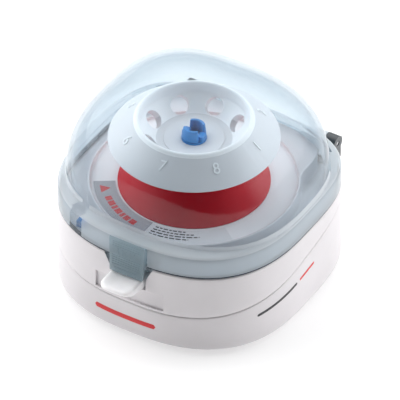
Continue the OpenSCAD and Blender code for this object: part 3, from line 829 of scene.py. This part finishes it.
# the shoulder: a rounded edge, a flat that falls outwards, and a small fillet into the dome
land = np.maximum(top - foot, 0.0)
for q, z in ((0.10, 65.0), (0.30, 66.0), (0.75, 66.9), (1.4, 67.45), (2.1, 67.75)):
    outer.append(lid_ring(np.maximum(top - q, foot + 0.35), z))
for u, z in ((0.5, 0.16), (0.85, 0.3)):
    r = np.maximum(top - 2.1, foot + 0.35)
    outer.append(lid_ring(r * (1 - u) + (foot + 0.35) * u, 67.75 + z))
outer += [lid_ring(foot + 0.12, 68.35), lid_ring(foot + 0.02, 68.8), lid_ring(foot - 0.02, 69.6)]
inner = [lid_ring(fl(LT - 0.5), GZ + 0.32), lid_ring(fl(LT), GZ + 0.7), lid_ring(fl(LT + 0.05), 58), lid_ring(fl(LT + 0.2), 62.0)]
ti = fl(LT + 0.2)
fi = dm(1, LT + 0.15)
for q, z in ((0.3, 63.4), (1.0, 64.5), (2.0, 65.1)):
    inner.append(lid_ring(np.maximum(ti - q, fi + 0.3), z))
inner += [lid_ring(np.maximum(ti - 2.0, fi + 0.3) * 0.4 + (fi + 0.3) * 0.6, 65.4), lid_ring(fi + 0.1, 65.9), lid_ring(fi, 66.8), lid_ring(fi - 0.03, 69.0)]
TH = np.linspace(0, math.pi / 2, 26)[1:-1]
M_ = 2.3
outer.append(lid_ring(dm((1 - 0.03 ** M_) ** (1 / M_)), D0 + 0.03 * (DOME - 0.02 - D0)))
for th in TH:
    t, g = math.sin(th) ** (2 / M_), math.cos(th) ** (2 / M_)
    if t > 0.035:
        outer.append(lid_ring(dm(g), D0 + t * (DOME - 0.02 - D0)))
    if t > 0.06:
        inner.append(lid_ring(dm(g, LT), D0 + t * (DOME - LT - D0)))
rows = inner[::-1] + outer
lid = loft("lid_moulding", rows, angle=40)
tw = 23.2 / 2 + 0.8
boolean(lid, block("c", (-tw, -80, 40), (tw, -67.4, 66.8), 0.0), angle=40)
boolean(lid, join("c", [cyl("c", 5.4, (s * 42.6, HY, HZ), (s * 50.4, HY, HZ)) for s in (-1, 1)]), angle=40)
boolean(lid, join("c", [block("c", (min(s * 42.6, s * 50.4), 60, 40), (max(s * 42.6, s * 50.4), 95, HZ + 1.0)) for s in (-1, 1)]), angle=40)
ears = []
for s in (-1, 1):
    a = [(HY + 4.55 * math.cos(w), HZ + 4.55 * math.sin(w)) for w in np.linspace(-math.pi / 2, math.pi / 2, 17)]
    a += [(68.9, HZ + 4.55), (68.9, HZ - 4.2), (HY - 1.5, HZ - 4.5)]
    e = prism("e", a, "x", min(s * 35.4, s * 42.5), max(s * 35.4, s * 42.5), 0.4)
    ears.append(e)
boolean(lid, join("e", ears), "UNION", angle=40)
use(lid, CLEAR)
lid.data.materials.append(CLEAR_EDGE_PAINTED_SHADE)
lid.data.materials.append(CLEAR_RIM)
lid.data.materials.append(CLEAR_CREASE_PAINTED_SHADE)
lid.data.materials.append(CLEAR_LAND_PAINTED_LIGHT)
# faces of the lid's lowest band take the dark tint: painted shade along the gap line
zr = FH + (GZ + 1.35) * 0.001
for p in lid.data.polygons:
    if all(lid.data.vertices[v].co.z < zr + 1e-6 for v in p.vertices):
        p.material_index = 1
zf = FH + 0.0684


def lid_n_out(p):
    """True for faces of the outer skin."""
    return p.normal.x * (p.center.x - AX) + p.normal.y * (p.center.y - AY) > 0 or p.normal.z > 0.5


for p in lid.data.polygons:
    if p.material_index == 0 and all(lid.data.vertices[v].co.z < zf for v in p.vertices) and lid_n_out(p):
        p.material_index = 2
# outer faces at the rear corners of the dome foot take the darker tint: painted shade
for p in lid.data.polygons:
    c_ = p.center
    x_, y_, z_ = abs(c_.x - AX) * 1000, (c_.y - AY) * 1000, (c_.z - FH) * 1000
    if 34 < x_ < 57 and y_ > 48 and 67.9 < z_ < 70.6 and lid_n_out(p):
        p.material_index = 3
for p in lid.data.polygons:
    c_ = p.center
    x_, y_, z_ = abs(c_.x - AX) * 1000, (c_.y - AY) * 1000, (c_.z - FH) * 1000
    # upward-facing rim faces and the dome-foot band take the lighter haze: painted light
    if p.material_index == 2 and p.normal.z > 0.55:
        p.material_index = 4
    if p.material_index == 0 and 68.3 < z_ < 72.2 and lid_n_out(p) and not (x_ > 30 and y_ > 40):
        p.material_index = 4
    if p.material_index == 0 and x_ > 30 and y_ > 44 and z_ < 66:
        p.material_index = 2
    if p.material_index in (2, 4) and -43 < (c_.x - AX) * 1000 < -34 and y_ < -56 and z_ > 50:
        p.material_index = 0  # the corner over the lid switch stays clear
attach(lid, "lid")
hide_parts("lid")

# ---------------------------------------------------------------- latch tab
prof = rounded([(-73.9, 44.8), (-72.5, 67.4), (-72.1, 68.25), (-71.6, 68.2), (-71.25, 66.4), (-69.4, 66.3), (-69.1, 65), (-70.2, 57.7), (-62.9, 56.2), (-62.9, 45), (-64.0, 44.6), (-64.4, 47.2), (-64.4, 54.4), (-70.6, 55.4), (-71.9, 44.8)],
               [0.5, 0.6, 0.3, 0.3, 0.2, 0.3, 0.6, 0.8, 0.8, 0.3, 0.2, 0.3, 0.6, 0.8, 0.5], 3)
TW = 23.2 / 2


def tab_half(z):
    return TW - float(np.interp(z, [44.7, 62.0], [1.0, 0.0]))


n = len(prof)
verts = [(-tab_half(z), y, z) for y, z in prof] + [(tab_half(z), y, z) for y, z in prof]
faces = [tuple(range(n)), tuple(range(n, 2 * n))] + [(i, (i + 1) % n, n + (i + 1) % n, n + i) for i in range(n)]
tab = obj_from("latch_tab_plate", verts, faces)
bevel_all(tab, 0.25)
use(tab, CLEAR_TAB)
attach(tab, "latch")
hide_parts("latch_tab")


def tab_y(z):
    return float(np.interp(z, [44.8, 67.4], [-73.9, -72.5]))


def tab_bar(x0, x1, z0, z1, h=0.16):
    """A low bar on the sloping face of the tab."""
    v = []
    for x in (x0, x1):
        for z in (z0, z1):
            v += [(x, tab_y(z) + 0.3, z), (x, tab_y(z) - h, z)]
    f = [(0, 1, 3, 2), (4, 6, 7, 5), (0, 4, 5, 1), (2, 3, 7, 6), (1, 5, 7, 3), (0, 2, 6, 4)]
    return obj_from("r", v, f)


ribs = [tab_bar(-9.2, 9.2, z - 0.24, z + 0.24, 0.22) for z in (66.0, 64.5, 63.0, 56.4, 54.9, 53.4, 51.9, 50.4)]
ribs.append(tab_bar(-7.6, 7.6, 47.6, 48.5, 0.24))
ribs += [tab_bar(x - 0.4, x + 0.4, 57.8, 61.6, 0.22) for x in (-5.4, -2.7, 0, 2.7, 5.4)]
rib = use(join("latch_tab_ribs", ribs), CLEAR_TAB)
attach(rib, "latch")

# ---------------------------------------------------------------- carried-over CAD nodes
for nd, mt in {"rubber_feet": RUBBER, "housing_screws": STEEL, "motor_mount": STEEL, "vibration_mounts": RUBBER, "mount_screws": STEEL,
               "motor_screws": STEEL, "motor_end_cap": BLACK, "motor_can": CAN, "motor_magnets": MAGNET, "motor_armature": COPPER,
               "motor_shaft": STEEL, "lower_bearing": STEEL, "upper_bearing": STEEL, "circuit_board": BOARD, "board_components": BLACK,
               "dc_inlet": BLACK, "power_switch_frame": BLACK, "power_rocker": BLACK, "lid_switch": BLACK, "lid_switch_plunger": BLUE,
               "latch_catch": STEEL, "hinge_brackets": DARK, "hinge_pins": STEEL, "bracket_screws": STEEL}.items():
    node_material(nd, mt)
    o = frame["nodes"][nd]
    for p in o.data.polygons:
        p.use_smooth = True
    o.data.set_sharp_from_angle(angle=math.radians(28))

# ---------------------------------------------------------------- front and side trim marks
def wall_strip(name, x1, x2, z1, z2, side_="front", n=40, lift=0.06, slant=0.0):
    """A thin strip that follows the housing wall, from direction angle x1 to x2 in degrees."""
    phi = np.radians(np.linspace(x1, x2, n))
    ro, ri = body_r(-lift, phi), body_r(0.4, phi)
    verts, faces = [], []
    for i in range(n):
        t = i / (n - 1)
        rnd_ = min(1.0, math.sqrt(max(0.0, 1 - (max(0, abs(2 * t - 1) - 0.965) / 0.035) ** 2)))
        zc, hh = (z1 + z2) / 2 + slant * t, (z2 - z1) / 2 * max(rnd_, 0.05)
        for r, z in ((ri[i], zc - hh), (ro[i], zc - hh), (ro[i], zc + hh), (ri[i], zc + hh)):
            verts.append((r * math.cos(phi[i]), r * math.sin(phi[i]), z))
    for i in range(n - 1):
        for j in range(4):
            faces.append((i * 4 + j, i * 4 + (j + 1) % 4, (i + 1) * 4 + (j + 1) % 4, (i + 1) * 4 + j))
    faces += [(0, 1, 2, 3), tuple((n - 1) * 4 + j for j in (3, 2, 1, 0))]
    return obj_from(name, verts, faces)


front_mark = use(wall_strip("front_stripe_red", -108, -76, 10.2, 13.4), INK_RED)
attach(front_mark, "base")
side_mark = use(wall_strip("side_stripe_dark", -31, -6, 19.0, 20.8, slant=4.5), INK_DARK)
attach(side_mark, "base")
boolean(lower, wall_strip("r", -4, 8, 23.9, 25.7, lift=0.5, slant=2.1))  # this strip sits in a shallow groove, flush with the widest part of the wall
side_mark2 = use(wall_strip("side_stripe_red", -4, 8, 23.9, 25.7, lift=-0.03, slant=2.1), INK_RED)
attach(side_mark2, "base")

# ---------------------------------------------------------------- floor, light, camera
def stage_plane(name, size, z):
    me = bpy.data.meshes.new(name)
    me.from_pydata([(-size, -size, z), (size, -size, z), (size, size, z), (-size, size, z)], [], [(0, 1, 2, 3)])
    o = bpy.data.objects.new(name, me)
    bpy.context.scene.collection.objects.link(o)
    return o


m, t = nodes_of("floor_pale")
b = N_(t, "ShaderNodeBsdfPrincipled")
nz_ = N_(t, "ShaderNodeTexNoise", Scale=3.0, Detail=3.0)
mx = N_(t, "ShaderNodeMix", data_type="RGBA")
mx.inputs["A"].default_value = (0.62, 0.62, 0.625, 1)
mx.inputs["B"].default_value = (0.64, 0.64, 0.64, 1)
t.links.new(nz_.outputs["Fac"], mx.inputs["Factor"])
t.links.new(mx.outputs["Result"], b.inputs["Base Color"])
b.inputs["Roughness"].default_value = 0.9
b.inputs["Specular IOR Level"].default_value = 0.1
b.inputs["Emission Color"].default_value = (1, 1, 1, 1)
b.inputs["Emission Strength"].default_value = 0.42
o_ = N_(t, "ShaderNodeOutputMaterial")
t.links.new(b.outputs["BSDF"], o_.inputs["Surface"])
floor = stage_plane("floor", 30.0, 0.0)
floor.data.materials.append(m)

TENT_BACK, TENT_LEFT, TENT_RIGHT, TENT_TOP, TENT_BASE = 0.54, 3.25, 2.85, 1.60, 0.0
sc = bpy.context.scene
world = bpy.data.worlds.new("studio")
sc.world = world
world.use_nodes = True
wt = world.node_tree
wt.nodes.clear()
co = wt.nodes.new("ShaderNodeTexCoord")


def band(vec, lo, hi, gain, both=False):
    """Strength that rises smoothly as the direction turns towards vec."""
    d = wt.nodes.new("ShaderNodeVectorMath")
    d.operation = "DOT_PRODUCT"
    d.inputs[1].default_value = vec
    wt.links.new(co.outputs["Generated"], d.inputs[0])
    v = d.outputs["Value"]
    if both:
        a = wt.nodes.new("ShaderNodeMath")
        a.operation = "ABSOLUTE"
        wt.links.new(v, a.inputs[0])
        v = a.outputs["Value"]
    m_ = wt.nodes.new("ShaderNodeMapRange")
    m_.interpolation_type = "SMOOTHSTEP"
    m_.inputs["From Min"].default_value = lo
    m_.inputs["From Max"].default_value = hi
    m_.inputs["To Max"].default_value = gain
    wt.links.new(v, m_.inputs["Value"])
    return m_.outputs["Result"]


# a tent with bright side walls, a bright top and rear, and a dark front
parts = [band((-0.524, 0.852, 0), -0.3, 0.7, TENT_BACK), band((-0.921, -0.189, 0.342), 0.62, 1.0, TENT_LEFT), band((0.724, 0.600, 0.342), 0.62, 1.0, TENT_RIGHT), band((-0.262, 0.426, 0.866), 0.66, 1.0, TENT_TOP), band((0.0, 1.0, 0.0), 0.965, 0.995, 0.46)]
tot = parts[0]
for q in parts[1:]:
    a = wt.nodes.new("ShaderNodeMath")
    a.operation = "ADD"
    wt.links.new(tot, a.inputs[0])
    wt.links.new(q, a.inputs[1])
    tot = a.outputs["Value"]
a = wt.nodes.new("ShaderNodeMath")
a.operation = "ADD"
a.inputs[1].default_value = TENT_BASE
wt.links.new(tot, a.inputs[0])
bg = wt.nodes.new("ShaderNodeBackground")
bg.inputs["Color"].default_value = (1, 1, 1, 1)
wt.links.new(a.outputs["Value"], bg.inputs["Strength"])
wo = wt.nodes.new("ShaderNodeOutputWorld")
wt.links.new(bg.outputs["Background"], wo.inputs["Surface"])


def area(name, loc, target, size, power, color=(1, 1, 1)):
    l = bpy.data.lights.new(name, "AREA")
    l.shape = "RECTANGLE"
    l.size, l.size_y = size
    l.energy = power
    l.color = color
    o = bpy.data.objects.new(name, l)
    bpy.context.scene.collection.objects.link(o)
    o.location = loc
    o.rotation_mode = "QUATERNION"
    o.rotation_quaternion = (Vector(target) - Vector(loc)).to_track_quat("-Z", "Y")
    o.visible_glossy = False
    return o


AZ, EL, DIST = math.radians(31.6), math.radians(39.9), 8.0
back = Vector((math.sin(AZ) * math.cos(EL), -math.cos(AZ) * math.cos(EL), math.sin(EL)))
right = Vector((math.cos(AZ), math.sin(AZ), 0))
up = back.cross(right)
base = Vector(W((0, 0, 0)))
aim = base + right * 0.0033 + up * 0.03675
cd = bpy.data.cameras.new("camera")
cam = bpy.data.objects.new("camera", cd)
sc.collection.objects.link(cam)
cd.sensor_width = 36
cd.lens = 1.755 * DIST * 1000 * 36 / 400
cam.location = aim + back * DIST
cam.rotation_mode = "QUATERNION"
cam.rotation_quaternion = (-back).to_track_quat("-Z", "Y")
cd.clip_start, cd.clip_end = 0.5, 100
sc.camera = cam

H_R, H_F = Vector((0.852, 0.524, 0)), Vector((0.524, -0.852, 0))
area("soft_left", -H_R * 1.0 - H_F * 0.35 + Vector((0, 0, 0.45)), (0, 0, 0.06), (0.7, 0.7), 0.3)
area("soft_right", H_R * 1.0 - H_F * 0.3 + Vector((0, 0, 0.4)), (0, 0, 0.06), (0.7, 0.7), 0.25)

sc.view_settings.view_transform = "Standard"
sc.view_settings.look = "None"
sc.cycles.use_denoising = True
sc.cycles.max_bounces = 16
sc.cycles.transparent_max_bounces = 24
sc.cycles.caustics_reflective = False
sc.cycles.caustics_refractive = False
